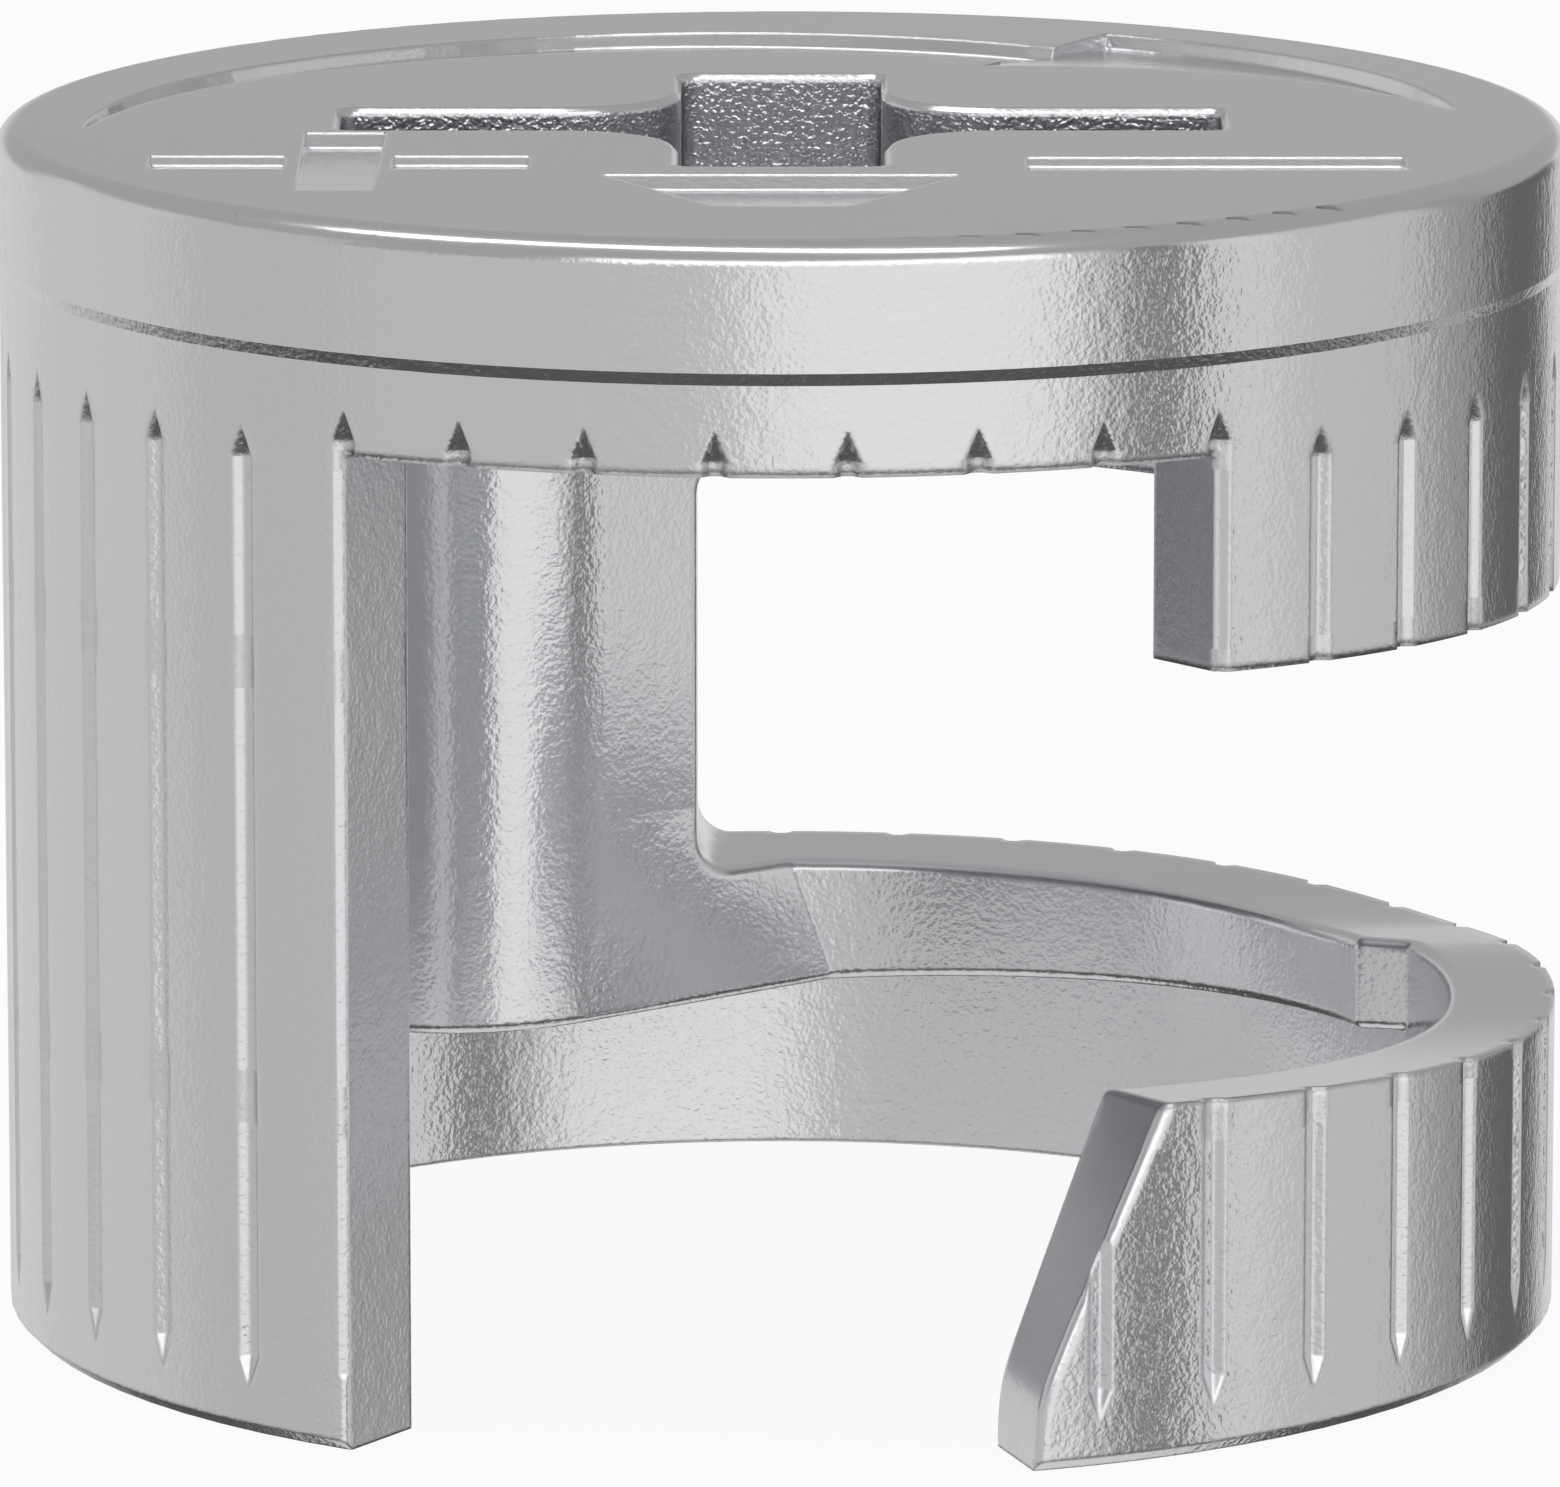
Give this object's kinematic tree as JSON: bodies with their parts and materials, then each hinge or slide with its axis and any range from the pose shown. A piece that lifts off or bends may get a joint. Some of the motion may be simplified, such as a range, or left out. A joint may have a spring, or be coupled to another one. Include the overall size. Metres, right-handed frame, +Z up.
{
  "type": "furniture cam lock",
  "caption": "Fluted round cam housing with a cross drive recess and an open, slotted cam that pulls a connecting bolt's head tight in flat-pack furniture.",
  "frame": {"origin": "centre of the open underside, on the axis of the round head", "axes": "+Z up along the axis towards the head, -Y towards the front opening, +X towards the side slot"},
  "size_m": [0.015, 0.015, 0.0115],
  "materials": {
    "zinc": "satin nickel"
  },
  "bodies": {
    "root": {"cam_housing": "zinc"}
  },
  "joints": []
}
